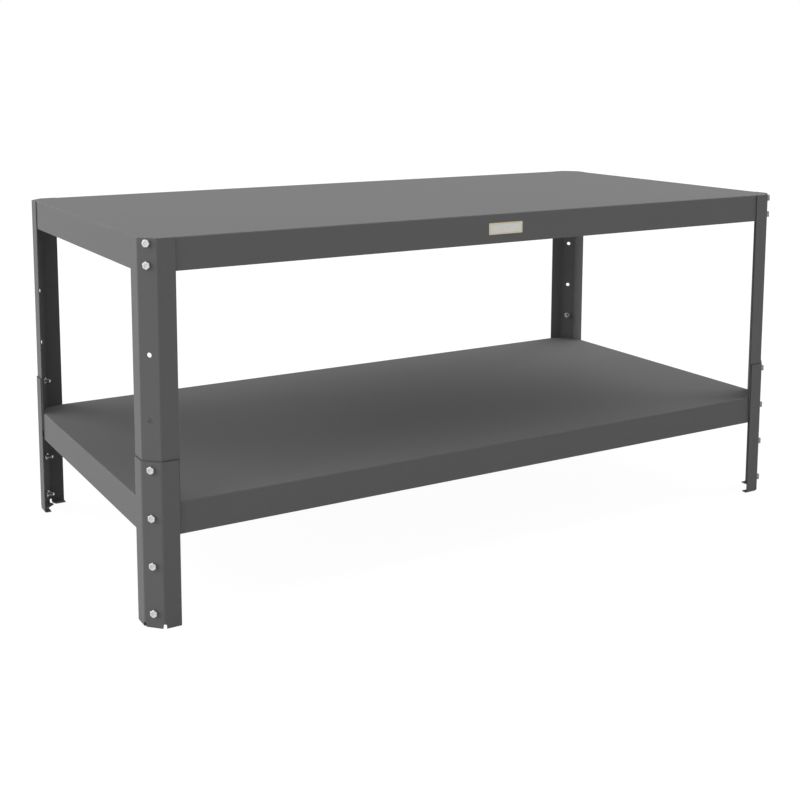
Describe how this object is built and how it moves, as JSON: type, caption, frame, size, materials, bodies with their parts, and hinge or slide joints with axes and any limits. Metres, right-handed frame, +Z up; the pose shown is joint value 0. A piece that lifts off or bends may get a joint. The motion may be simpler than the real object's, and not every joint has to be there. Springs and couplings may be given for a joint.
{
  "type": "assembly table",
  "caption": "Steel assembly table: flanged work deck and lower shelf bolted inside bent sheet-metal corner legs, with bolted sleeves at the feet that set the height.",
  "frame": {"origin": "on the floor, under the middle of the table", "axes": "+X along the table's length to the right, +Y to the back, +Z up; the label side is the front"},
  "size_m": [1.3248, 0.6476, 0.6096],
  "materials": {
    "powder_coat": "satin grey powder coat, fine orange peel",
    "zinc_plate": "bright zinc plate",
    "label_foil": "blank satin label"
  },
  "bodies": {
    "root": {"top_deck": "powder_coat", "lower_shelf": "powder_coat", "top_channel": "powder_coat", "shelf_channel": "powder_coat", "label_plate": "label_foil", "upper_leg_front_left": "powder_coat", "lower_leg_front_left": "powder_coat", "deck_bolts_front_left": "zinc_plate", "deck_nuts_front_left": "zinc_plate", "leg_bolt_front_left": "zinc_plate", "leg_nut_front_left": "zinc_plate", "shelf_bolt_front_left": "zinc_plate", "shelf_nut_front_left": "zinc_plate", "sleeve_bolts_front_left": "zinc_plate", "sleeve_nuts_front_left": "zinc_plate", "upper_leg_front_right": "powder_coat", "lower_leg_front_right": "powder_coat", "deck_bolts_front_right": "zinc_plate", "deck_nuts_front_right": "zinc_plate", "leg_bolt_front_right": "zinc_plate", "leg_nut_front_right": "zinc_plate", "shelf_bolt_front_right": "zinc_plate", "shelf_nut_front_right": "zinc_plate", "sleeve_bolts_front_right": "zinc_plate", "sleeve_nuts_front_right": "zinc_plate", "upper_leg_back_right": "powder_coat", "lower_leg_back_right": "powder_coat", "deck_bolts_back_right": "zinc_plate", "deck_nuts_back_right": "zinc_plate", "leg_bolt_back_right": "zinc_plate", "leg_nut_back_right": "zinc_plate", "shelf_bolt_back_right": "zinc_plate", "shelf_nut_back_right": "zinc_plate", "sleeve_bolts_back_right": "zinc_plate", "sleeve_nuts_back_right": "zinc_plate", "upper_leg_back_left": "powder_coat", "lower_leg_back_left": "powder_coat", "deck_bolts_back_left": "zinc_plate", "deck_nuts_back_left": "zinc_plate", "leg_bolt_back_left": "zinc_plate", "leg_nut_back_left": "zinc_plate", "shelf_bolt_back_left": "zinc_plate", "shelf_nut_back_left": "zinc_plate", "sleeve_bolts_back_left": "zinc_plate", "sleeve_nuts_back_left": "zinc_plate"}
  },
  "joints": []
}
